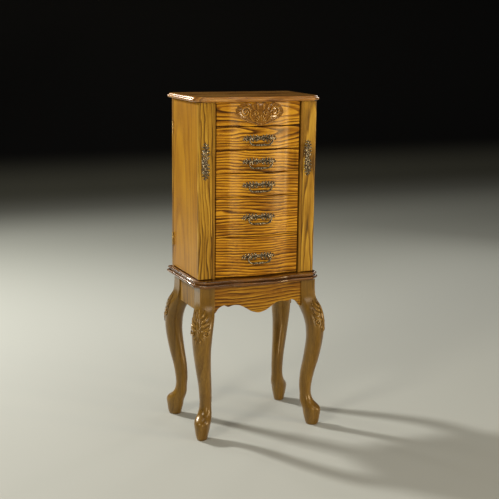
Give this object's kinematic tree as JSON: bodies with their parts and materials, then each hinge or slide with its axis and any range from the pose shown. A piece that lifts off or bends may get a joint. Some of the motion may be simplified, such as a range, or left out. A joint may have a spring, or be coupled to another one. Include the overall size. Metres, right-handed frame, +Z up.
{
  "type": "jewelry armoire",
  "caption": "Free-standing jewelry armoire on cabriole legs, with a drawer case, swing-out side doors for necklaces and a flip-top mirror lid over a fitted tray.",
  "frame": {"origin": "on the floor, in the middle of the four feet", "axes": "+Z up, the front with the drawers faces -Y, +X to the viewer's right"},
  "size_m": [0.421, 0.3018, 1],
  "materials": {
    "case_wood": "satin oak, honey stain",
    "drawer_wood": "plain, thin lacquer",
    "front_wood": "satin oak, strong cross grain",
    "side_wood": "satin oak",
    "strip_wood": "satin oak, upright grain",
    "leg_wood": "gloss lacquer",
    "moulding_wood": "gloss lacquer, darker stain",
    "raw_wood": "unfinished",
    "velvet": "velvet",
    "brass": "polished",
    "steel": "zinc plated",
    "mirror_glass": "silvered",
    "bronze": "antique bronze"
  },
  "bodies": {
    "case": {"back_panel": "case_wood", "case_floor": "case_wood", "partition_left": "case_wood", "partition_right": "case_wood", "drawer_shelves": "case_wood", "side_top_boards": "case_wood", "top_tray": "drawer_wood", "fascia_panel": "front_wood", "front_apron": "front_wood", "side_apron_left": "side_wood", "side_apron_right": "side_wood", "back_apron": "side_wood", "fascia_carving": "leg_wood", "leg_front_left": "leg_wood", "leg_front_right": "leg_wood", "leg_back_left": "leg_wood", "leg_back_right": "leg_wood", "base_moulding": "moulding_wood", "corner_blocks": "raw_wood", "ring_rolls": "velvet", "hinge_leaves": "brass", "stand_screws": "steel", "door_magnets": "steel"},
    "lid": {"lid_panel": "moulding_wood", "lid_mirror": "mirror_glass", "lid_hinge_leaves": "brass"},
    "door_left": {"door_panel_left": "side_wood", "door_strip_left": "strip_wood", "door_hinge_leaves_left": "brass", "door_pull_plate_left": "bronze", "necklace_pouch_left": "velvet", "necklace_hooks_left": "brass"},
    "pull_bail_left": {"door_pull_bail_left": "bronze"},
    "door_right": {"door_panel_right": "side_wood", "door_strip_right": "strip_wood", "door_hinge_leaves_right": "brass", "door_pull_plate_right": "bronze", "necklace_pouch_right": "velvet", "necklace_hooks_right": "brass"},
    "pull_bail_right": {"door_pull_bail_right": "bronze"},
    "drawer_1": {"drawer_front_1": "front_wood", "drawer_box_1": "drawer_wood", "drawer_plate_1": "bronze"},
    "handle_bail_1": {"drawer_bail_1": "bronze"},
    "drawer_2": {"drawer_front_2": "front_wood", "drawer_box_2": "drawer_wood", "drawer_plate_2": "bronze"},
    "handle_bail_2": {"drawer_bail_2": "bronze"},
    "drawer_3": {"drawer_front_3": "front_wood", "drawer_box_3": "drawer_wood", "drawer_plate_3": "bronze"},
    "handle_bail_3": {"drawer_bail_3": "bronze"},
    "drawer_4": {"drawer_front_4": "front_wood", "drawer_box_4": "drawer_wood", "drawer_plate_4": "bronze"},
    "handle_bail_4": {"drawer_bail_4": "bronze"},
    "drawer_5": {"drawer_front_5": "front_wood", "drawer_box_5": "drawer_wood", "drawer_plate_5": "bronze"},
    "handle_bail_5": {"drawer_bail_5": "bronze"}
  },
  "joints": [
    {"name": "lid_hinge", "type": "hinge", "parent": "case", "child": "lid", "pos_m": [0, 0.1338, 0.9845], "axis": [-1, 0, 0], "range_deg": [0, 95]},
    {"name": "door_left_hinge", "type": "hinge", "parent": "case", "child": "door_left", "pos_m": [-0.187, 0.1178, 0.73], "axis": [0, 0, -1], "range_deg": [0, 110]},
    {"name": "door_right_hinge", "type": "hinge", "parent": "case", "child": "door_right", "pos_m": [0.187, 0.1178, 0.73], "axis": [0, 0, 1], "range_deg": [0, 110]},
    {"name": "drawer_1_slide", "type": "slide", "parent": "case", "child": "drawer_1", "axis": [0, -1, 0], "range_m": [0, 0.15]},
    {"name": "drawer_2_slide", "type": "slide", "parent": "case", "child": "drawer_2", "axis": [0, -1, 0], "range_m": [0, 0.15]},
    {"name": "drawer_3_slide", "type": "slide", "parent": "case", "child": "drawer_3", "axis": [0, -1, 0], "range_m": [0, 0.15]},
    {"name": "drawer_4_slide", "type": "slide", "parent": "case", "child": "drawer_4", "axis": [0, -1, 0], "range_m": [0, 0.15]},
    {"name": "drawer_5_slide", "type": "slide", "parent": "case", "child": "drawer_5", "axis": [0, -1, 0], "range_m": [0, 0.15]},
    {"name": "handle_1_swing", "type": "hinge", "parent": "drawer_1", "child": "handle_bail_1", "pos_m": [0, -0.115, 0.8815], "axis": [-1, 0, 0], "range_deg": [0, 95]},
    {"name": "handle_2_swing", "type": "hinge", "parent": "drawer_2", "child": "handle_bail_2", "pos_m": [0, -0.115, 0.815], "axis": [-1, 0, 0], "range_deg": [0, 95]},
    {"name": "handle_3_swing", "type": "hinge", "parent": "drawer_3", "child": "handle_bail_3", "pos_m": [0, -0.115, 0.747], "axis": [-1, 0, 0], "range_deg": [0, 95]},
    {"name": "handle_4_swing", "type": "hinge", "parent": "drawer_4", "child": "handle_bail_4", "pos_m": [0, -0.115, 0.653], "axis": [-1, 0, 0], "range_deg": [0, 95]},
    {"name": "handle_5_swing", "type": "hinge", "parent": "drawer_5", "child": "handle_bail_5", "pos_m": [0, -0.115, 0.536], "axis": [-1, 0, 0], "range_deg": [0, 95]},
    {"name": "pull_left_swing", "type": "hinge", "parent": "door_left", "child": "pull_bail_left", "pos_m": [-0.163, -0.106, 0.8185], "axis": [0, 0, 1], "range_deg": [-30, 140]},
    {"name": "pull_right_swing", "type": "hinge", "parent": "door_right", "child": "pull_bail_right", "pos_m": [0.158, -0.106, 0.8185], "axis": [0, 0, 1], "range_deg": [-30, 140]}
  ]
}
